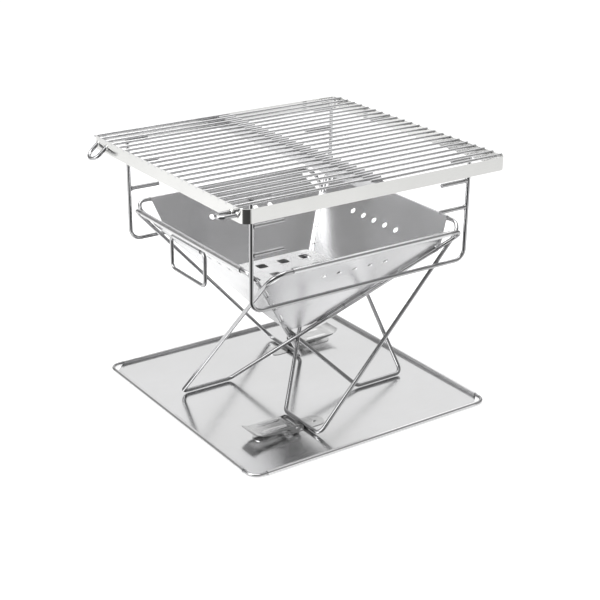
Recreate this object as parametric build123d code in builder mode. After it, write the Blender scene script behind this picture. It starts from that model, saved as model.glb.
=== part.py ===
from build123d import *
import os
from math import hypot, sqrt

os.makedirs("parts", exist_ok=True)

# ---------------------------------------------------------------- driving sizes, mm
# Axes: X to the right along the grate bars, Y to the back, Z up; z = 0 is the floor.

# base tray: a sheet whose edges are rolled round a closed wire
tray_width = 420.0
tray_sheet = 0.9
tray_wire = 4.8               # wire diameter
tray_roll_wall = 0.9
tray_corner_radius = 16.0
tray_corner_bare = 26.0       # length of bare wire each side of a corner
roll_clearance = 0.1          # between a wire and the sheet rolled round it

# leg loops: one closed wire per firebox plate, each flat in one sloping plane
leg_wire = 6.0
rim_half = 181.0              # wire centre line of the rim, from the middle
rim_z = 273.0
foot_gap = 0.3                # from a held foot down to the latch base under it
foot_offset = 64.0            # how far past the middle each foot lies
strand_gap = 3.4              # between the corner strands, in a loop's plane
outer_strand_u = 159.0        # the straight outer side of each loop
rim_outer_bend = 22.0
rim_corner_bend = 12.0
foot_bend = 11.0

# firebox plates and their knuckles
plate_sheet = 1.0
plate_inset = 0.6             # the sheet's outer face lies this far inside the wires
plate_length = 226.0          # down the slope, from the rim
roll_wall = 1.0
rim_roll_left = 128.0
rim_roll_right = 140.0
knuckle_start = 52.0          # along the corner strand, from the rim's corner
knuckle_length = 31.4
knuckle_pitch = 33.0
knuckle_pairs = 3
knuckle_clearance = 0.08      # hinge running clearance, on the radius
knuckle_wall = 0.9
edge_gap = 5.0                # the sheet stays this far from a strand between knuckles
vent_diameter = 9.0
vent_pitch = 26.5
vent_count = 5
vent_down = 49.0              # down the slope, from the rim

# charcoal bed
bed_sheet = 1.2
bed_top_z = 179.5
bed_edge = 8.0
bed_corner_radius = 12.0
bed_clearance = 0.5
bed_hole = 16.0
bed_hole_pitch = 39.0
bed_hole_count = 4

# bridges that carry the grate
bridge_wire = 6.0
bridge_post_x = 182.0
bridge_bar_z = 222.0
bridge_bend = 16.0
bridge_clearance = 0.4        # between a bar and the leg wire that it lies against
stub_length = 46.0
stub_levels = (301.0, 340.0)
top_stub_length = 30.0

# grate
grate_width = 435.0
grate_depth = 407.0
grate_top_z = 380.0
grate_band_height = 19.0
grate_band_below_top = 1.0     # the bars stand this far proud of the band they are set in
grate_band_sheet = 1.2
grate_corner_radius = 12.0
bar_wire = 4.0
bar_pitch = 18.1
bar_count = 22
bar_first_y = 199.5           # the rearmost bar of the left half
bar_overrun = 2.0             # the right bars stand proud of the band
bar_middle_lap = 12.0
strip_x = 7.0
ear_wire = 5.6
ear_reach = 25.0
front_ear_width = 14.0        # between its wire's centre lines
back_ear_width = 26.0
back_ear_droop = 40.0         # degrees down from level
grate_clearance = 0.3

# carry handle on the left plate
handle_wire = 5.6
handle_width = 92.0
handle_drop = 50.0
handle_u = -20.0              # along the rim, from the plate's middle
handle_down = 20.0            # down the slope, from the rim
handle_bend = 9.0
bracket_wall = 1.0
bracket_length = 74.0
bracket_clearance = 0.15
spot_diameter = 6.0
spot_pitch = 37.0

# foot latches
latch_x = -foot_offset
latch_y = -115.0
latch_base_sheet = 0.8
latch_base_width = 30.0
latch_base_left = 82.0        # reach of the base from the foot wire, to the lever's tip
latch_base_right = 36.0
latch_lip_height = 3.2
latch_lip_gap = 0.5
latch_pin = 4.0
latch_pin_reach = 19.0        # from the foot wire to the pin
latch_pin_z = 9.0
latch_ear_sheet = 1.0
lever_sheet = 1.0
lever_width = 36.0
lever_length = 74.0
lever_top_z = 14.4
lever_tip_rise = 6.0
lever_flange_drop = 8.6
latch_rivet = 6.0
latch_pin_clearance = 0.06

# ---------------------------------------------------------------- worked out once
tray_floor_z = tray_sheet                          # the sheet lies flat on the ground
foot_z = tray_floor_z + latch_base_sheet + leg_wire / 2 + foot_gap
slope_run = rim_half + foot_offset
slope_rise = rim_z - foot_z
slope_length = hypot(slope_run, slope_rise)
slope_sin = slope_rise / slope_length
slope_cos = slope_run / slope_length
apex_length = rim_half / slope_cos                 # down the slope to where the planes meet
corner_rate = rim_half / apex_length               # how fast a plate narrows down the slope
strand_stretch = sqrt(1 + corner_rate ** 2)        # strand length per length down the slope
wire_r = leg_wire / 2
plate_offset = wire_r - plate_inset                # from the wires' plane in to the sheet
strand_shift = leg_wire + strand_gap               # sets crossing corner strands side by side
strand_top_u = rim_half - strand_shift
strand_foot_u = strand_top_u - corner_rate * slope_length
normal_dot = slope_cos ** 2                        # between two neighbouring planes' normals
strand_side = strand_shift / strand_stretch        # strand to corner line, square to both
strand_out = strand_side * normal_dot * strand_stretch
sleeve_bore = wire_r + knuckle_clearance
sleeve_outer = sleeve_bore + knuckle_wall
roll_bore = wire_r + roll_clearance
roll_outer = roll_bore + roll_wall


def turned(x, y, z, quarter):
    """A point turned by quarter turns about the middle, seen from above."""
    for _ in range(quarter):
        x, y = -y, x
    return (x, y, z)


def on_plate(u, s, w, quarter):
    """A point from plate coordinates: u along the rim, s up the slope, w outwards."""
    y = -rim_half - s * slope_cos - w * slope_sin
    z = rim_z + s * slope_sin - w * slope_cos
    return turned(u, y, z, quarter)


def plate_plane(quarter, lift=0.0):
    """The sketch plane of a plate, seen from outside, with its origin in the rim."""
    return Plane(
        origin=on_plate(0, 0, lift, quarter),
        x_dir=turned(1, 0, 0, quarter),
        z_dir=turned(0, -slope_sin, -slope_cos, quarter),
    )


def strand_point(along, quarter):
    """A point on the corner strand of a loop, at a distance from the rim's corner."""
    s = -along / strand_stretch
    return on_plate(strand_top_u + corner_rate * s, s, 0, quarter)


def between(start, end):
    """The plane at start that faces end, and the distance to it."""
    run = Vector(*end) - Vector(*start)
    return Plane(origin=start, z_dir=run), run.length


def bent_wire(place, points, bends, radius, closed=False):
    """A round wire along straight runs drawn on a plane and joined by bends."""
    with BuildPart() as wire:
        with BuildLine(place) as route:
            FilletPolyline(*points, radius=bends, close=closed)
        path = route.wires()[0]
        with BuildSketch(Plane(origin=path @ 0, z_dir=path % 0)):
            Circle(radius)
        sweep(path=path)
    return wire.part


def finish(name, part):
    part.label = name
    export_step(part, f"parts/{name}.step")


sides = ("front", "right", "back", "left")

# ---------------------------------------------------------------- base tray
tray_wire_r = tray_wire / 2
tray_bore = tray_wire_r + roll_clearance
tray_roll = tray_bore + tray_roll_wall
tray_edge = tray_width / 2 - tray_roll
tray_roll_half = tray_width / 2 - tray_corner_bare

with BuildPart() as base_tray:
    with BuildSketch(Plane.XY.offset(tray_floor_z - tray_sheet)):
        with BuildLine():
            Polyline(
                *[turned(*corner, 0, quarter)[:2]
                  for quarter in range(4)
                  for corner in ((tray_edge, -tray_roll_half), (tray_edge, tray_roll_half))],
                close=True,
            )
        make_face()
    extrude(amount=tray_sheet)
    for quarter in range(4):
        start = turned(tray_edge, -tray_roll_half, tray_roll, quarter)
        end = turned(tray_edge, tray_roll_half, tray_roll, quarter)
        place, length = between(start, end)
        with BuildSketch(place):
            Circle(tray_roll)
        extrude(amount=length)
        with BuildSketch(place.offset(-tray_roll)):
            Circle(tray_bore)
        extrude(amount=length + 2 * tray_roll, mode=Mode.SUBTRACT)
finish("base_tray", base_tray.part)

tray_rim_wire = bent_wire(
    Plane.XY.offset(tray_roll),
    [turned(tray_edge, tray_edge, 0, quarter)[:2] for quarter in range(4)],
    tray_corner_radius, tray_wire_r, closed=True)
finish("tray_rim_wire", tray_rim_wire)

# ---------------------------------------------------------------- leg loops
for quarter, side in enumerate(sides):
    leg_loop = bent_wire(
        plate_plane(quarter),
        [(strand_top_u, 0), (strand_foot_u, -slope_length),
         (-outer_strand_u, -slope_length), (-outer_strand_u, 0)],
        [rim_corner_bend, foot_bend, foot_bend, rim_outer_bend], wire_r, closed=True)
    finish(f"{side}_leg_loop", leg_loop)

# ---------------------------------------------------------------- firebox plates
# The right edge of a plate closes on its own loop's strand, the left edge on its neighbour's.
own_line_top = strand_top_u
far_line_top = -(rim_half + strand_out)
edge_shift = edge_gap * strand_stretch
tab_reach = edge_gap + 1                           # the tabs run just into the sheet


def strand_u(s):
    """Where the plate's own strand is, along the rim, at s up the slope."""
    return own_line_top + corner_rate * s


def neighbour_u(s):
    """Where the neighbour's strand is, along the rim, at s up the slope."""
    return far_line_top - corner_rate * s


def strand_foot(along):
    """Plate coordinates of the own strand, at a distance from the rim's corner."""
    s = -along / strand_stretch
    return strand_u(s), s


def neighbour_foot(along):
    """The same for the neighbour's strand, which lies behind the plate."""
    x, y, z = strand_point(along, 3)
    return x, (z - rim_z) * slope_sin - (y + rim_half) * slope_cos


knuckle_top = -knuckle_start / strand_stretch
open_corner = "back"           # its left edge is not hinged, so the sleeves there are loose
knuckle_starts = [
    knuckle_start + step * knuckle_pitch for step in range(2 * knuckle_pairs)]


def sleeve_plane(along, strand):
    """The end plane of a knuckle round a strand, facing along it."""
    return between(strand_point(along, strand), strand_point(along + knuckle_length, strand))[0]


for quarter, side in enumerate(sides):
    neighbour = (quarter + 3) % 4
    own_knuckles = [(along, strand_foot, -1, quarter) for along in knuckle_starts[0::2]]
    far_knuckles = [(along, neighbour_foot, 1, neighbour) for along in knuckle_starts[1::2]]
    knuckles = own_knuckles if side == open_corner else own_knuckles + far_knuckles
    with BuildPart() as plate:
        with BuildSketch(plate_plane(quarter, -plate_offset - plate_sheet)):
            with BuildLine():
                Polyline(
                    (-rim_roll_left, 0), (rim_roll_right, 0),
                    (strand_u(knuckle_top) - edge_shift, knuckle_top),
                    (strand_u(-plate_length) - edge_shift, -plate_length),
                    (neighbour_u(-plate_length) + edge_shift, -plate_length),
                    (neighbour_u(knuckle_top) + edge_shift, knuckle_top),
                    close=True,
                )
            make_face()
            for along, foot, inward, _ in knuckles:
                high_u, high_s = foot(along)
                low_u, low_s = foot(along + knuckle_length)
                tab_u = inward * tab_reach / strand_stretch
                tab_s = tab_reach * corner_rate / strand_stretch
                with BuildLine():
                    Polyline(
                        (high_u, high_s), (low_u, low_s),
                        (low_u + tab_u, low_s + tab_s), (high_u + tab_u, high_s + tab_s),
                        close=True,
                    )
                make_face()
            with Locations((0, -vent_down)):
                with GridLocations(vent_pitch, vent_pitch, vent_count, 1):
                    Circle(vent_diameter / 2, mode=Mode.SUBTRACT)
        extrude(amount=plate_sheet)
        roll, roll_length = between(
            on_plate(-rim_roll_left, 0, 0, quarter), on_plate(rim_roll_right, 0, 0, quarter))
        with BuildSketch(roll):
            Circle(roll_outer)
        extrude(amount=roll_length)
        with BuildSketch(roll.offset(-roll_outer)):
            Circle(roll_bore)
        extrude(amount=roll_length + 2 * roll_outer, mode=Mode.SUBTRACT)
        for along, _, _, strand in knuckles:
            with BuildSketch(sleeve_plane(along, strand)):
                Circle(sleeve_outer)
            extrude(amount=knuckle_length)
            with BuildSketch(sleeve_plane(along, strand)):
                Circle(sleeve_bore)
            extrude(amount=knuckle_length, mode=Mode.SUBTRACT)
    finish(f"{side}_plate", plate.part)

with BuildPart() as open_corner_sleeves:
    for along in knuckle_starts[1::2]:
        with BuildSketch(sleeve_plane(along, sides.index(open_corner) - 1)):
            Circle(sleeve_outer)
            Circle(sleeve_bore, mode=Mode.SUBTRACT)
        extrude(amount=knuckle_length)
finish("open_corner_sleeves", open_corner_sleeves.part)

# ---------------------------------------------------------------- carry handle
handle_quarter = 3
bracket_bore = handle_wire / 2 + bracket_clearance
bracket_outer = bracket_bore + bracket_wall
handle_w = bracket_outer - plate_offset
bracket_start = on_plate(handle_u - bracket_length / 2, -handle_down, handle_w, handle_quarter)
bracket_end = on_plate(handle_u + bracket_length / 2, -handle_down, handle_w, handle_quarter)
handle_x, handle_y, handle_z = on_plate(handle_u, -handle_down, handle_w, handle_quarter)

with BuildPart() as handle_bracket:
    place, length = between(bracket_start, bracket_end)
    with BuildSketch(place):
        Circle(bracket_outer)
    extrude(amount=length)
    with BuildSketch(place):
        Circle(bracket_bore)
    extrude(amount=length, mode=Mode.SUBTRACT)
finish("handle_bracket", handle_bracket.part)

with BuildPart() as handle_spots:
    with BuildSketch(plate_plane(handle_quarter, -plate_offset)):
        with Locations((handle_u, -handle_down / 2 - 1)):
            with GridLocations(spot_pitch, spot_pitch, 2, 1):
                Circle(spot_diameter / 2)
    extrude(amount=1.2)
finish("handle_spots", handle_spots.part)

carry_handle = bent_wire(
    Plane(origin=(handle_x, handle_y, handle_z), x_dir=(0, 1, 0), z_dir=(-1, 0, 0)),
    [(handle_width / 2, 0), (handle_width / 2, handle_drop),
     (-handle_width / 2, handle_drop), (-handle_width / 2, 0)],
    handle_bend, handle_wire / 2, closed=True)
finish("carry_handle", carry_handle)

# ---------------------------------------------------------------- charcoal bed
bed_low_z = bed_top_z - bed_edge
plate_inner = (plate_offset + plate_sheet) / slope_sin
bed_half = rim_half - (rim_z - bed_low_z) * slope_run / slope_rise - plate_inner - bed_clearance

with BuildPart() as charcoal_bed:
    with BuildSketch(Plane.XY.offset(bed_low_z)):
        RectangleRounded(2 * bed_half, 2 * bed_half, bed_corner_radius)
    extrude(amount=bed_edge)
    with BuildSketch(Plane.XY.offset(bed_low_z)):
        RectangleRounded(
            2 * (bed_half - bed_sheet), 2 * (bed_half - bed_sheet), bed_corner_radius - bed_sheet)
    extrude(amount=bed_edge - bed_sheet, mode=Mode.SUBTRACT)
    with BuildSketch(Plane.XY.offset(bed_low_z)):
        with GridLocations(bed_hole_pitch, bed_hole_pitch, bed_hole_count, bed_hole_count):
            RectangleRounded(bed_hole, bed_hole, 3)
    extrude(amount=bed_edge, mode=Mode.SUBTRACT)
finish("charcoal_bed", charcoal_bed.part)

# ---------------------------------------------------------------- grate bridges
bar_bottom_z = grate_top_z - bar_wire
bridge_r = bridge_wire / 2
bridge_top_z = bar_bottom_z - grate_clearance
bridge_y = outer_strand_u + wire_r + bridge_r + bridge_clearance

for side, facing in (("front", -1), ("back", 1)):
    bridge = bent_wire(
        Plane(origin=(0, facing * bridge_y, 0), x_dir=(1, 0, 0), z_dir=(0, -1, 0)),
        [(-bridge_post_x, bridge_top_z), (-bridge_post_x, bridge_bar_z),
         (bridge_post_x, bridge_bar_z), (bridge_post_x, bridge_top_z)],
        bridge_bend, bridge_r)
    finish(f"{side}_bridge", bridge)

    with BuildPart() as stubs:
        for level, reach in (
                *[(level, stub_length) for level in stub_levels],
                (bridge_top_z - bridge_r, top_stub_length)):
            for hand in (-1, 1):
                start = (hand * (bridge_post_x - bridge_r), facing * bridge_y, level)
                end = (hand * (bridge_post_x - bridge_r - reach), facing * bridge_y, level)
                place, length = between(start, end)
                with BuildSketch(place):
                    Circle(bridge_r)
                extrude(amount=length)
    finish(f"{side}_bridge_stubs", stubs.part)

# ---------------------------------------------------------------- grate
band_top_z = grate_top_z - grate_band_below_top
band_low_z = band_top_z - grate_band_height
bar_z = grate_top_z - bar_wire / 2

with BuildPart() as grate_frame:
    with BuildSketch(Plane.XY.offset(band_low_z)):
        RectangleRounded(grate_width, grate_depth, grate_corner_radius)
        RectangleRounded(
            grate_width - 2 * grate_band_sheet, grate_depth - 2 * grate_band_sheet,
            grate_corner_radius - grate_band_sheet, mode=Mode.SUBTRACT)
    extrude(amount=grate_band_height)
    for start_x, shift in (
            (-grate_width / 2, 0), (grate_width / 2 - grate_corner_radius, bar_pitch / 2)):
        with BuildSketch(Plane(origin=(start_x, 0, bar_z), x_dir=(0, 1, 0), z_dir=(1, 0, 0))):
            for index in range(bar_count):
                with Locations((bar_first_y - shift - index * bar_pitch, 0)):
                    Circle(bar_wire / 2)
        extrude(amount=grate_corner_radius, mode=Mode.SUBTRACT)
finish("grate_frame", grate_frame.part)

with BuildPart() as grate_cross_strips:
    with BuildSketch(Plane.XY.offset(band_low_z)):
        with GridLocations(2 * strip_x, 1, 2, 1):
            Rectangle(grate_band_sheet, grate_depth - 2 * grate_band_sheet)
    extrude(amount=bar_bottom_z - band_low_z)
finish("grate_cross_strips", grate_cross_strips.part)

for side, start_x, end_x, shift in (
        ("left", -grate_width / 2, bar_middle_lap, 0),
        ("right", -bar_middle_lap, grate_width / 2 + bar_overrun, bar_pitch / 2)):
    with BuildPart() as bars:
        with BuildSketch(Plane(origin=(start_x, 0, bar_z), x_dir=(0, 1, 0), z_dir=(1, 0, 0))):
            for index in range(bar_count):
                with Locations((bar_first_y - shift - index * bar_pitch, 0)):
                    Circle(bar_wire / 2)
        extrude(amount=end_x - start_x)
    finish(f"grate_bars_{side}", bars.part)

ear_z = band_low_z + grate_band_height / 2
ear_limit = grate_depth / 2 - grate_corner_radius - ear_wire / 2
for side, facing, width, droop in (
        ("front", -1, front_ear_width, 0), ("back", 1, back_ear_width, back_ear_droop)):
    place = Plane(origin=(-grate_width / 2, facing * (ear_limit - width / 2), ear_z))
    with BuildPart() as ear:
        add(bent_wire(
            place.rotated((0, -droop, 0)),
            [(ear_wire, -width / 2), (-ear_reach, -width / 2),
             (-ear_reach, width / 2), (ear_wire, width / 2)],
            width / 2 - 0.2, ear_wire / 2))
        with Locations(place):
            Box(4 * ear_wire, 2 * width, 4 * ear_wire,
                align=(Align.MIN, Align.CENTER, Align.CENTER), mode=Mode.SUBTRACT)
    finish(f"grate_{side}_ear", ear.part)

# ---------------------------------------------------------------- foot latches
pin_x = latch_x - latch_pin_reach
base_z = tray_floor_z + latch_base_sheet
ear_r = latch_pin / 2 + 2.6
lever_half = lever_width / 2
pin_hole = latch_pin / 2 + latch_pin_clearance
lip_gap = wire_r + latch_lip_gap
half_base = latch_base_width / 2

for side, quarter in (("front", 0), ("back", 2)):
    turn = 90 * quarter
    with BuildPart() as latch_base:
        with BuildSketch(Plane.XY.offset(tray_floor_z)):
            with Locations((latch_x + (latch_base_right - latch_base_left) / 2, latch_y)):
                RectangleRounded(
                    latch_base_left + latch_base_right, latch_base_width, half_base - 0.5)
            with Locations((latch_x + latch_base_right - half_base, latch_y)):
                Circle(latch_rivet / 2 - 1, mode=Mode.SUBTRACT)
        extrude(amount=latch_base_sheet)
        for lip in (-1, 1):
            with Locations((
                    latch_x + lip * (lip_gap + latch_base_sheet / 2), latch_y,
                    base_z + latch_lip_height / 2)):
                Box(latch_base_sheet, latch_base_width - 8, latch_lip_height)
        for hand in (-1, 1):
            with BuildSketch(Plane(
                    origin=(pin_x, latch_y + hand * half_base - latch_ear_sheet / 2
                            - hand * latch_ear_sheet / 2, 0),
                    x_dir=(-1, 0, 0), z_dir=(0, 1, 0))):
                with Locations((0, latch_pin_z)):
                    Circle(ear_r)
                with Locations((0, (base_z - 0.4 + latch_pin_z) / 2)):
                    Rectangle(2 * ear_r, latch_pin_z - base_z + 0.4)
                with Locations((0, latch_pin_z)):
                    Circle(latch_pin / 2, mode=Mode.SUBTRACT)
            extrude(amount=latch_ear_sheet)
    finish(f"{side}_latch_base", latch_base.part.rotate(Axis.Z, turn))

    with BuildPart() as latch_pin_part:
        with BuildSketch(Plane(origin=(pin_x, latch_y - lever_half - 1, latch_pin_z), z_dir=(0, 1, 0))):
            Circle(latch_pin / 2)
        extrude(amount=lever_width + 2)
    finish(f"{side}_latch_pin", latch_pin_part.part.rotate(Axis.Z, turn))

    with BuildPart() as latch_rivet_part:
        rivet_x = latch_x + latch_base_right - half_base
        with Locations((rivet_x, latch_y, tray_floor_z)):
            Cylinder(latch_rivet / 2 - 1, latch_base_sheet,
                     align=(Align.CENTER, Align.CENTER, Align.MIN))
        with Locations((rivet_x, latch_y, base_z)):
            Cylinder(latch_rivet / 2, 1.4, align=(Align.CENTER, Align.CENTER, Align.MIN))
        fillet(latch_rivet_part.faces().sort_by(Axis.Z)[-1].edges(), 0.8)
    finish(f"{side}_latch_rivet", latch_rivet_part.part.rotate(Axis.Z, turn))

    with BuildPart() as latch_lever:
        flange_low = lever_top_z - lever_flange_drop
        with BuildSketch(Plane(origin=(pin_x, latch_y - lever_half, 0),
                               x_dir=(-1, 0, 0), z_dir=(0, 1, 0))) as lever_side:
            with BuildLine():
                Polyline(
                    (0, lever_top_z), (lever_length * 0.8, lever_top_z),
                    (lever_length * 0.8, lever_top_z - 3), (0, flange_low), close=True)
            make_face()
            with Locations((0, latch_pin_z)):
                Circle(lever_top_z - latch_pin_z)
            with Locations((0, latch_pin_z)):
                Circle(pin_hole, mode=Mode.SUBTRACT)
        extrude(amount=lever_width)
        with BuildSketch(Plane(origin=(pin_x, latch_y - lever_half + lever_sheet, 0),
                               x_dir=(-1, 0, 0), z_dir=(0, 1, 0))):
            with BuildLine():
                Polyline(
                    (-20, 0), (-20, lever_top_z + 1), (ear_r + 3, lever_top_z + 1),
                    (ear_r + 3, lever_top_z - lever_sheet),
                    (lever_length, lever_top_z - lever_sheet), (lever_length, 0), close=True)
            make_face()
        extrude(amount=lever_width - 2 * lever_sheet, mode=Mode.SUBTRACT)
        with BuildSketch(Plane(origin=(pin_x, latch_y - lever_half, 0),
                               x_dir=(-1, 0, 0), z_dir=(0, 1, 0))):
            with BuildLine():
                Polyline(
                    (lever_length * 0.8 - 2, lever_top_z), (lever_length * 0.86, lever_top_z),
                    (lever_length, lever_top_z + lever_tip_rise),
                    (lever_length, lever_top_z + lever_tip_rise - 1.2 * lever_sheet),
                    (lever_length * 0.87, lever_top_z - lever_sheet),
                    (lever_length * 0.8 - 2, lever_top_z - lever_sheet), close=True)
            make_face()
        extrude(amount=lever_width)
    finish(f"{side}_latch_lever", latch_lever.part.rotate(Axis.Z, turn))
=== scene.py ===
import math

import bmesh
import bpy
from mathutils import Matrix, Vector, noise


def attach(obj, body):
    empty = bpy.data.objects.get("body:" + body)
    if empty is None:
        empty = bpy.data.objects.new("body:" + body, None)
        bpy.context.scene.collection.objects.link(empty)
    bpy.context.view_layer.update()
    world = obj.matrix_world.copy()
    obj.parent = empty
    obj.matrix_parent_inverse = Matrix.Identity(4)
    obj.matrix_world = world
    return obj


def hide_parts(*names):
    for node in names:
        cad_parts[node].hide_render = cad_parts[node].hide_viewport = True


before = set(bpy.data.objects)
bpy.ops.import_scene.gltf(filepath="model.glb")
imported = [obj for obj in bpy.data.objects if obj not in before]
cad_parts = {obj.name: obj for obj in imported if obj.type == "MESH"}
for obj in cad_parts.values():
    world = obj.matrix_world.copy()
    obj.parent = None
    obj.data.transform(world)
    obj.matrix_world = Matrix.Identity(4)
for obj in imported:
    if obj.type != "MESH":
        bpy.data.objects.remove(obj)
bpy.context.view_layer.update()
scene = bpy.context.scene
MM = 0.001


# ------------------------------------------------------------------ colours and nodes
def linear(hex_colour):
    """An sRGB hex value as the linear RGBA that a shader takes."""
    channels = [int(hex_colour[i:i + 2], 16) / 255 for i in (1, 3, 5)]
    return tuple(c / 12.92 if c <= 0.04045 else ((c + 0.055) / 1.055) ** 2.4
                 for c in channels) + (1.0,)


def add_node(tree, kind, inputs=None, **settings):
    """A node with its settings; an input is a plain value or the socket that feeds it."""
    made = tree.nodes.new("ShaderNode" + kind)
    for name, value in settings.items():
        setattr(made, name, value)
    for name, value in (inputs or {}).items():
        if isinstance(value, bpy.types.NodeSocket):
            tree.links.new(value, made.inputs[name])
        else:
            made.inputs[name].default_value = value
    return made


def grain_scale(size_mm, stretch=(1, 1, 1)):
    """Noise scale, per metre, for grain of this size, drawn out along each axis by stretch."""
    return tuple(1 / (size_mm * MM * s) for s in stretch)


# how far apart the noise's sum has to drift for the full change of gloss and of tone
GLOSS_DRIFT = (0.6, 1.4)
TONE_DRIFT = (0.7, 1.3)


def steel(name, colour, dark, roughness, spread, grain_mm, stretch, grain_depth_mm,
          mottle_mm, anisotropy=0.0):
    """Bare stainless steel: fine grain in bump and gloss, and slow drifts of tone and gloss
    from handling and rolling. Real brush and polish lines are finer than 0.1 mm, so the
    grain is drawn at about 1 mm, as coarse as it needs to be to show."""
    material = bpy.data.materials.new(name)
    material.use_nodes = True
    tree = material.node_tree
    shader = tree.nodes["Principled BSDF"]
    place = add_node(tree, "TexCoord").outputs["Object"]
    drawn = add_node(tree, "VectorMath", {0: place, 1: grain_scale(grain_mm, stretch)},
                     operation="MULTIPLY")
    grain = add_node(tree, "TexNoise", {"Vector": drawn.outputs[0], "Scale": 1.0,
                                        "Detail": 3.0, "Roughness": 0.6})
    slow = add_node(tree, "VectorMath", {0: place, 1: grain_scale(mottle_mm)},
                    operation="MULTIPLY")
    mottle = add_node(tree, "TexNoise", {"Vector": slow.outputs[0], "Scale": 1.0,
                                         "Detail": 4.0, "Roughness": 0.5})
    blend = add_node(tree, "Math", {0: grain.outputs["Fac"], 1: mottle.outputs["Fac"]},
                     operation="ADD")
    gloss = add_node(tree, "MapRange", {"Value": blend.outputs[0], "From Min": GLOSS_DRIFT[0],
                                        "From Max": GLOSS_DRIFT[1],
                                        "To Min": roughness - spread,
                                        "To Max": roughness + spread})
    tone = add_node(tree, "MapRange", {"Value": blend.outputs[0], "From Min": TONE_DRIFT[0],
                                       "From Max": TONE_DRIFT[1]})
    tint = add_node(tree, "Mix", {"Factor": tone.outputs[0], 6: linear(dark),
                                  7: linear(colour)}, data_type="RGBA")
    relief = add_node(tree, "Bump", {"Height": grain.outputs["Fac"],
                                     "Distance": grain_depth_mm * MM, "Strength": 1.0})
    tree.links.new(tint.outputs[2], shader.inputs["Base Color"])
    tree.links.new(gloss.outputs[0], shader.inputs["Roughness"])
    tree.links.new(relief.outputs[0], shader.inputs["Normal"])
    shader.inputs["Metallic"].default_value = 1.0
    shader.inputs["Anisotropic"].default_value = anisotropy
    return material


# drawn and electropolished wire: mirror-like, with a faint even grain, so it shows a dark
# core between bright edges
drawn_wire = steel("stainless_wire_electropolished", "#bcbcbd", "#aeaeaf", 0.12, 0.03,
                   1.6, (1, 1, 1), 0.002, 40.0)
# the grate's bars: drawn wire, tumbled after welding, paler and softer than the legs
bar_wire = steel("stainless_bar_tumbled", "#dcdcdd", "#d2d2d3", 0.26, 0.03,
                 1.4, (9, 1, 1), 0.002, 40.0)
# cold-rolled sheet, brushed along the sheet: satin, with fine lines across the slope
brushed_sheet = steel("stainless_sheet_brushed", "#dfdfe0", "#d8d8d9", 0.21, 0.03,
                      0.9, (14, 14, 1), 0.001, 90.0, 0.3)
# the tray: bright-annealed sheet, a soft grey mirror that smears what stands on it
annealed_tray = steel("stainless_tray_bright_annealed", "#e3e3e4", "#dddddd", 0.17, 0.03,
                      1.2, (18, 1, 1), 0.0008, 160.0, 0.2)
# buffed strip for the grate's band: near white, crisp reflections at the corners
buffed_band = steel("stainless_strip_buffed", "#e6e6e4", "#dfdfdd", 0.12, 0.03,
                    1.2, (10, 10, 1), 0.001, 60.0)
# the charcoal bed: pickled sheet, pale and soft
pickled_bed = steel("stainless_sheet_pickled", "#efefef", "#e6e6e6", 0.28, 0.04,
                    1.0, (1, 1, 1), 0.002, 50.0)
# stamped and tumbled small parts: bright with worn soft edges
stamped_latch = steel("stainless_stamped_tumbled", "#d6d6d6", "#c2c2c2", 0.17, 0.05,
                      0.8, (1, 1, 1), 0.003, 12.0)

by_slot = {"sheet": brushed_sheet, "tray": annealed_tray, "wire": drawn_wire,
           "bars": bar_wire, "band": buffed_band, "bed": pickled_bed,
           "latch": stamped_latch}


def finish_of(name):
    """The key in by_slot of the steel that a CAD node is shown with."""
    if "latch" in name:
        return "latch"
    if name == "base_tray":
        return "tray"
    if name == "charcoal_bed":
        return "bed"
    if name == "grate_frame":
        return "band"
    if name.startswith("grate_bars"):
        return "bars"
    # the cross strips are shown brushed, although their slot is the band's
    if name.endswith("_plate") or name in ("handle_bracket", "handle_spots",
                                           "open_corner_sleeves", "grate_cross_strips"):
        return "sheet"
    return "wire"


for name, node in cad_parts.items():
    node.data.materials.clear()
    node.data.materials.append(by_slot[finish_of(name)])

# ------------------------------------------------------------------ small parts
def add_piece(name, body, slot_name, mesh):
    """A new mesh piece in the row frame that rides on a CAD body and takes that slot's steel."""
    piece = bpy.data.objects.new(name, mesh)
    scene.collection.objects.link(piece)
    mesh.materials.append(by_slot[slot_name])
    for face in mesh.polygons:
        face.use_smooth = True
    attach(piece, body)
    return piece


LUMP_DEPTH = 0.22        # of a bead's half size
LUMP_PITCH = 1.7         # noise cells across half a bead
SEED_STEP = 3.1


def weld_beads(name, body, slot_name, spots):
    """Lumpy fused beads in one mesh: each spot is its centre and half sizes, in mm, and a
    seed for its lumps."""
    beads = bmesh.new()
    for (centre, half, seed) in spots:
        made = bmesh.ops.create_icosphere(beads, subdivisions=3, radius=1.0)
        for vert in made["verts"]:
            lump = noise.noise(vert.co * LUMP_PITCH + Vector((seed * SEED_STEP, 0, 0)))
            away = vert.co * (1.0 + LUMP_DEPTH * lump)
            vert.co = Vector([(c + a * h) * MM for c, a, h in zip(centre, away, half)])
    mesh = bpy.data.meshes.new(name)
    beads.to_mesh(mesh)
    beads.free()
    add_piece(name, body, slot_name, mesh)


# where the short bars meet the bridges' posts: a bead above and one below each
POST_X = 182.0
POST_R = 3.0
BRIDGE_Y = 165.4
STUB_LEVELS = (301.0, 340.0)
STUB_BEAD = (1.9, 2.7, 1.6)
STUB_BEAD_INSET = 0.6
STUB_BEAD_RISE = 2.6
for side, facing in (("front", -1), ("back", 1)):
    spots = []
    for hand in (-1, 1):
        for step, level in enumerate(STUB_LEVELS):
            for off in (-1, 1):
                spots.append(((hand * (POST_X - POST_R - STUB_BEAD_INSET),
                               facing * BRIDGE_Y, level + off * STUB_BEAD_RISE), STUB_BEAD,
                              step * 5 + off + hand * 2.3 + facing))
    weld_beads(f"{side}_bridge_welds", f"{side}_bridge", "wire", spots)

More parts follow.
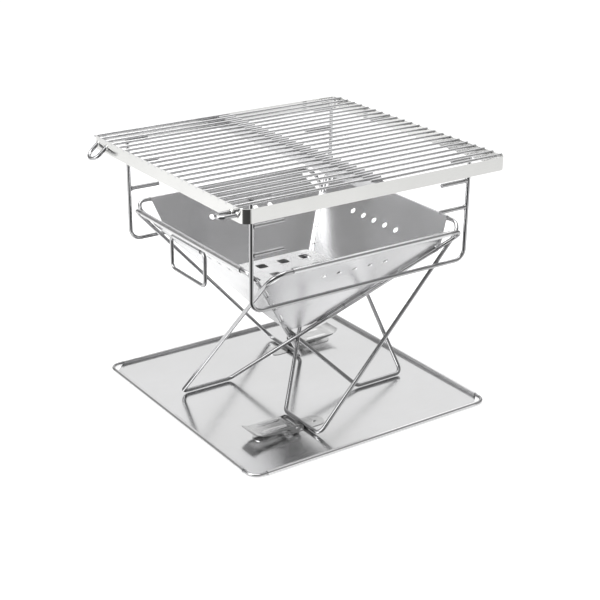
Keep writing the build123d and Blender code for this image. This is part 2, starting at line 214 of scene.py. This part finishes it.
# where the grate's bars meet the band and the cross strips; the right-hand bars lie half a
# pitch on from the left-hand ones
BAND_X = 217.5
BAND_BEAD_INSET = 1.9
STRIP_X = 7.0
STRIP_TOP = 376.0
BAR_BEAD_RISE = 0.35
BAR_BEAD = (1.3, 1.9, 0.75)
BAR_PITCH = 18.1
BAR_COUNT = 22
BAR_FIRST_Y = 199.5
BAR_LIMIT_Y = 196       # no bead past this, at the band's rounded corners
spots = []
for index in range(BAR_COUNT):
    y = BAR_FIRST_Y - index * BAR_PITCH
    for x, shift in ((-BAND_X + BAND_BEAD_INSET, 0), (-STRIP_X, 0),
                     (STRIP_X, BAR_PITCH / 2),
                     (BAND_X - BAND_BEAD_INSET, BAR_PITCH / 2)):
        if abs(y - shift) < BAR_LIMIT_Y:
            spots.append(((x, y - shift, STRIP_TOP + BAR_BEAD_RISE), BAR_BEAD, index + x))
weld_beads("grate_bar_welds", "grate", "bars", spots)

EAR_Z = 369.5
EAR_BEAD = (1.2, 3.9, 3.9)
EAR_BEAD_OUT = 0.5
EARS = ((-181.7, 14.0), (175.7, 26.0))      # middle and width of the front and back ears
spots = []
for middle, width in EARS:
    for end in (-1, 1):
        spots.append(((-BAND_X - EAR_BEAD_OUT, middle + end * width / 2, EAR_Z),
                      EAR_BEAD, middle + end))
weld_beads("grate_ear_welds", "grate", "band", spots)

# the latch levers: pressed channels with two ribs, an upturned tip and slotted flanges
PIN_X = -83.0
PIN_Z = 9.0
LATCH_Y = -115.0
LEVER_TOP = 14.4
LEVER_HALF = 18.0
LEVER_SHEET = 1.0
LEVER_START = 7.6        # from the pin to the top's near edge
FLANGE_END = 60.0
EYE_R = 5.4
RIB_HEIGHT = 1.1
RIB_AT = (9.0, 10.5, 12.0, 13.5)   # across the lever: foot, crown, crown, foot
RIB_RUN = (15.0, 52.0)
TIP_START = 60.0         # where the top turns up
TIP_RUN = 14.0
TIP_RISE = 5.2
TIP_CURVE = 1.4
NARROW_START = 66.0      # where its sides draw in
NARROW_RUN = 8.0
NARROW_BY = 0.16
SLOT = (13.0, 25.0, 8.6, 1.7)      # from, to, height at its middle, half width
SLOT_SLOPE = 0.09
FLANGE_TUCK = 0.4        # the flange's upper edge under the top's surface
FLANGE_EDGE = 0.25
PIN_HEAD = (3.0, 1.3, 3.0)
PIN_HEAD_Y = 18.6


def latch_point(along, across, z, turn):
    """A point on a latch, in metres: along its lever from the pin, across it, and up."""
    x, y = PIN_X - along, LATCH_Y + across
    return Vector((x * turn, y * turn, z)) * MM


def thicken(piece, edge=0.0, smooth=0):
    """The lever's sheet thickness, then smooth curvature on a pressed shape or softened
    edges on a flat one."""
    shell = piece.modifiers.new("sheet", "SOLIDIFY")
    shell.thickness = LEVER_SHEET * MM
    shell.offset = -1.0
    if smooth:
        rounding = piece.modifiers.new("pressing", "SUBSURF")
        rounding.levels = rounding.render_levels = smooth
    else:
        worn = piece.modifiers.new("deburred_edge", "BEVEL")
        worn.width = edge * MM
        worn.segments = 2
        worn.limit_method = "ANGLE"
        worn.harden_normals = True


def lever_top(name, body, turn):
    """The lever's pressed top, with two ribs and a narrowing upturned tip."""
    across = sorted([-r for r in RIB_AT] + list(RIB_AT) +
                    [-LEVER_HALF, -LEVER_HALF + 0.5, LEVER_HALF - 0.5, LEVER_HALF, -3.0, 3.0])
    along = [LEVER_START, LEVER_START + 0.6, RIB_RUN[0], RIB_RUN[0] + 1.5, 32.0,
             RIB_RUN[1] - 1.5, RIB_RUN[1], 58.0, 61.0, 63.0, 68.0, 72.5, 74.0]
    grid = bmesh.new()
    rows = []
    for run in along:
        row = []
        narrow = 1.0 - NARROW_BY * max(0.0, (run - NARROW_START) / NARROW_RUN) ** 2
        for side_step in across:
            ribbed = RIB_AT[1] <= abs(side_step) <= RIB_AT[2] \
                and RIB_RUN[0] < run < RIB_RUN[1]
            z = LEVER_TOP + (RIB_HEIGHT if ribbed else 0.0)
            z += TIP_RISE * max(0.0, (run - TIP_START) / TIP_RUN) ** TIP_CURVE
            row.append(grid.verts.new(latch_point(run, side_step * narrow, z, turn)))
        rows.append(row)
    for low, high in zip(rows, rows[1:]):
        for i in range(len(across) - 1):
            grid.faces.new((low[i], low[i + 1], high[i + 1], high[i]))
    bmesh.ops.recalc_face_normals(grid, faces=grid.faces)
    if sum(f.normal.z for f in grid.faces) < 0:
        bmesh.ops.reverse_faces(grid, faces=grid.faces)
    mesh = bpy.data.meshes.new(name)
    grid.to_mesh(mesh)
    grid.free()
    piece = add_piece(name, body, "latch", mesh)
    thicken(piece, smooth=2)
    return piece


def lever_flange(name, body, turn, hand):
    """One side of the lever: rounded about the pin, tapering to the tip, with its slot."""
    eye = [(-EYE_R * math.sin(a), PIN_Z - EYE_R * math.cos(a))
           for a in (math.pi * k / 16 for k in range(17))]
    low = [(FLANGE_END, LEVER_TOP - 2.4), (EYE_R + 2.0, LEVER_TOP - 9.6)]
    upper = LEVER_TOP - FLANGE_TUCK
    outline = eye + [(LEVER_START, upper), (FLANGE_END + 3.0, upper)] + low
    start, end, middle_z, half = SLOT
    slot = []
    for k in range(24):
        a = 2 * math.pi * k / 24
        centre = end if math.cos(a) > 0 else start
        rise = (centre - start) * SLOT_SLOPE
        slot.append((centre + half * math.cos(a), middle_z + rise + half * math.sin(a)))
    sheet = bmesh.new()
    edges = []
    for ring in (outline, slot):
        verts = [sheet.verts.new(latch_point(l, hand * LEVER_HALF, z, turn)) for l, z in ring]
        edges += [sheet.edges.new((verts[i], verts[(i + 1) % len(verts)]))
                  for i in range(len(verts))]
    bmesh.ops.triangle_fill(sheet, edges=edges, use_beauty=True)
    bmesh.ops.recalc_face_normals(sheet, faces=sheet.faces)
    if sum(f.normal.y for f in sheet.faces) * hand * turn < 0:
        bmesh.ops.reverse_faces(sheet, faces=sheet.faces)
    mesh = bpy.data.meshes.new(name)
    sheet.to_mesh(mesh)
    sheet.free()
    piece = add_piece(name, body, "latch", mesh)
    for face in mesh.polygons:
        face.use_smooth = False
    thicken(piece, edge=FLANGE_EDGE)


for side, turn in (("front", 1), ("back", -1)):
    body = f"{side}_latch"
    top = lever_top(f"{side}_latch_lever_pressing", body, turn)
    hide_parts(f"{side}_latch_lever")
    for end, hand in (("near", -1), ("far", 1)):
        lever_flange(f"{side}_latch_lever_flange_{end}", body, turn, hand)
    heads = [((PIN_X * turn, (LATCH_Y + hand * PIN_HEAD_Y) * turn, PIN_Z), PIN_HEAD, 0.1)
             for hand in (-1, 1)]
    weld_beads(f"{side}_latch_pin_heads", "tray", "latch", heads)

# ------------------------------------------------------------------ floor, light, camera
FLOOR_HALF = 30.0
FLOOR_DROP = 0.0004      # keeps the floor clear of the tray's underside
FLOOR_GLOW = 0.62        # lifts the paper to white for the camera
GLOSSY_DIMMING = -0.30   # added to that glow where the steel mirrors the floor
CAMERA_SIDE = (-0.573, -0.820, 0.0)    # level direction from the object to the camera
ACROSS_VIEW = (0.820, -0.573, 0.0)
FLAG_START = (0.30, 0.36)    # metres from the middle, where the dark flag begins
FLAG_SPREAD = (0.70, 1.10)   # its sides: distance aside over distance out
floor_mesh = bpy.data.meshes.new("floor")
floor_mesh.from_pydata([(-FLOOR_HALF, -FLOOR_HALF, 0), (FLOOR_HALF, -FLOOR_HALF, 0),
                        (FLOOR_HALF, FLOOR_HALF, 0), (-FLOOR_HALF, FLOOR_HALF, 0)],
                       [], [(0, 1, 2, 3)])
floor = bpy.data.objects.new("floor", floor_mesh)
scene.collection.objects.link(floor)
floor.location.z = -FLOOR_DROP

# matt white paper; on the camera's side the metal sees a dark flag lying on it, which
# gives the steel its dark cores
paper = bpy.data.materials.new("studio_paper_white")
paper.use_nodes = True
tree = paper.node_tree
tree.nodes.clear()
path = add_node(tree, "LightPath")
seen = add_node(tree, "Math", {0: path.outputs["Is Camera Ray"],
                               1: path.outputs["Is Glossy Ray"]}, operation="MAXIMUM")
seen = add_node(tree, "Math", {0: seen.outputs[0], 1: path.outputs["Is Transmission Ray"]},
                operation="MAXIMUM")
less = add_node(tree, "Math", {0: path.outputs["Is Glossy Ray"], 1: GLOSSY_DIMMING},
                operation="MULTIPLY")
lift = add_node(tree, "Math", {0: seen.outputs[0], 1: FLOOR_GLOW, 2: less.outputs[0]},
                operation="MULTIPLY_ADD")
glow = add_node(tree, "Emission", {"Color": (1, 1, 1, 1), "Strength": lift.outputs[0]})
matt = add_node(tree, "BsdfDiffuse", {"Color": linear("#e8e8e8")})
lit = add_node(tree, "AddShader", {0: glow.outputs[0], 1: matt.outputs[0]})
spot = add_node(tree, "TexCoord").outputs["Object"]
near = add_node(tree, "VectorMath", {0: spot, 1: CAMERA_SIDE}, operation="DOT_PRODUCT")
past = add_node(tree, "MapRange", {"Value": near.outputs["Value"],
                                   "From Min": FLAG_START[0], "From Max": FLAG_START[1]})
aside = add_node(tree, "VectorMath", {0: spot, 1: ACROSS_VIEW}, operation="DOT_PRODUCT")
aside = add_node(tree, "Math", {0: aside.outputs["Value"]}, operation="ABSOLUTE")
wedge = add_node(tree, "Math", {0: aside.outputs[0], 1: near.outputs["Value"]},
                 operation="DIVIDE")
within = add_node(tree, "MapRange", {"Value": wedge.outputs[0],
                                     "From Min": FLAG_SPREAD[0], "From Max": FLAG_SPREAD[1],
                                     "To Min": 1.0, "To Max": 0.0})
flagged = add_node(tree, "Math", {0: past.outputs[0], 1: within.outputs[0]},
                   operation="MULTIPLY")
flag_seen = add_node(tree, "Math", {0: flagged.outputs[0],
                                    1: path.outputs["Is Glossy Ray"]},
                     operation="MULTIPLY")
gloom = add_node(tree, "BsdfDiffuse", {"Color": linear("#4a4a4a")})
shown = add_node(tree, "MixShader", {0: flag_seen.outputs[0], 1: lit.outputs[0],
                                     2: gloom.outputs[0]})
add_node(tree, "OutputMaterial", {"Surface": shown.outputs[0]})
floor_mesh.materials.append(paper)

# the room: white to the camera, and to the metal a grey room with three pale screens
world = bpy.data.worlds.new("studio")
scene.world = world
world.use_nodes = True
tree = world.node_tree
tree.nodes.clear()
ROOM_GREY = 0.33
CAMERA_SIDE_GREY = 0.28
CAMERA_SIDE_FADE = (0.5, 0.85)    # cosine of the angle from CAMERA_SIDE
AMBIENT = 0.5
# each screen: its direction, the cosines at its outer and inner edge, and its strength
SCREENS = (((0.25, 0.28, 0.93), 0.82, 0.91, 1.15),      # overhead
           ((-0.93, 0.20, 0.30), 0.80, 0.95, 0.80),     # to the left
           ((0.51, 0.82, 0.26), 0.78, 0.95, 0.62))      # behind
path = add_node(tree, "LightPath")
seen = add_node(tree, "Math", {0: path.outputs["Is Camera Ray"],
                               1: path.outputs["Is Transmission Ray"]}, operation="MAXIMUM")
direction = add_node(tree, "TexCoord").outputs["Generated"]
facing = add_node(tree, "VectorMath", {0: direction, 1: CAMERA_SIDE},
                  operation="DOT_PRODUCT")
room = add_node(tree, "MapRange", {"Value": facing.outputs["Value"],
                                   "From Min": CAMERA_SIDE_FADE[0],
                                   "From Max": CAMERA_SIDE_FADE[1],
                                   "To Min": ROOM_GREY,
                                   "To Max": CAMERA_SIDE_GREY}).outputs[0]
for aim, edge, full, strength in SCREENS:
    toward = add_node(tree, "VectorMath", {0: direction, 1: Vector(aim).normalized()},
                      operation="DOT_PRODUCT")
    screen = add_node(tree, "MapRange", {"Value": toward.outputs["Value"],
                                         "From Min": edge, "From Max": full,
                                         "To Max": strength},
                      interpolation_type="SMOOTHSTEP")
    room = add_node(tree, "Math", {0: room, 1: screen.outputs[0]},
                    operation="ADD").outputs[0]
level = add_node(tree, "Mix", {0: seen.outputs[0], 2: room, 3: 1.0})
backdrop = add_node(tree, "Background", {"Color": (1, 1, 1, 1),
                                         "Strength": level.outputs[0]})
ambient = add_node(tree, "Background", {"Color": (1, 1, 1, 1), "Strength": AMBIENT})
pick = add_node(tree, "Math", {0: seen.outputs[0], 1: path.outputs["Is Glossy Ray"]},
                operation="MAXIMUM")
mixed = add_node(tree, "MixShader", {0: pick.outputs[0], 1: ambient.outputs[0],
                                     2: backdrop.outputs[0]})
add_node(tree, "OutputWorld", {"Surface": mixed.outputs[0]})


def softbox(name, place, target, size, power):
    """A rectangular area lamp: place, target and size in metres, power in watts."""
    lamp = bpy.data.lights.new(name, "AREA")
    lamp.shape = "RECTANGLE"
    lamp.size, lamp.size_y = size
    lamp.energy = power
    holder = bpy.data.objects.new(name, lamp)
    scene.collection.objects.link(holder)
    holder.location = place
    aim = Vector(target) - Vector(place)
    holder.rotation_euler = aim.to_track_quat("-Z", "Y").to_euler()


MIDDLE = (0, 0, 0.2)
softbox("overhead_softbox", (-0.3, 0.2, 1.9), MIDDLE, (1.6, 1.6), 26.0)
softbox("left_softbox", (-1.9, -0.2, 1.1), MIDDLE, (1.2, 1.4), 14.0)

CAMERA_PLACE = (-1.0433, -1.5083, 0.9062)
CAMERA_TURN = math.radians(-34.94)
CAMERA_DROP = math.radians(22.66)
CAMERA_ROLL = math.radians(0.73)
FOCAL_MM = 79.97
SENSOR_MM = 36.0
back = Vector((math.sin(CAMERA_TURN) * math.cos(CAMERA_DROP),
               -math.cos(CAMERA_TURN) * math.cos(CAMERA_DROP), math.sin(CAMERA_DROP)))
right = (-back).cross(Vector((0, 0, 1))).normalized()
up = right.cross(-back)
c, s = math.cos(CAMERA_ROLL), math.sin(CAMERA_ROLL)
right, up = right * c + up * s, up * c - right * s
lens = bpy.data.cameras.new("camera")
lens.lens = FOCAL_MM
lens.sensor_width = SENSOR_MM
camera = bpy.data.objects.new("camera", lens)
scene.collection.objects.link(camera)
camera.matrix_world = Matrix(((right.x, up.x, back.x, CAMERA_PLACE[0]),
                              (right.y, up.y, back.y, CAMERA_PLACE[1]),
                              (right.z, up.z, back.z, CAMERA_PLACE[2]),
                              (0, 0, 0, 1)))
scene.camera = camera
scene.view_settings.view_transform = "Standard"
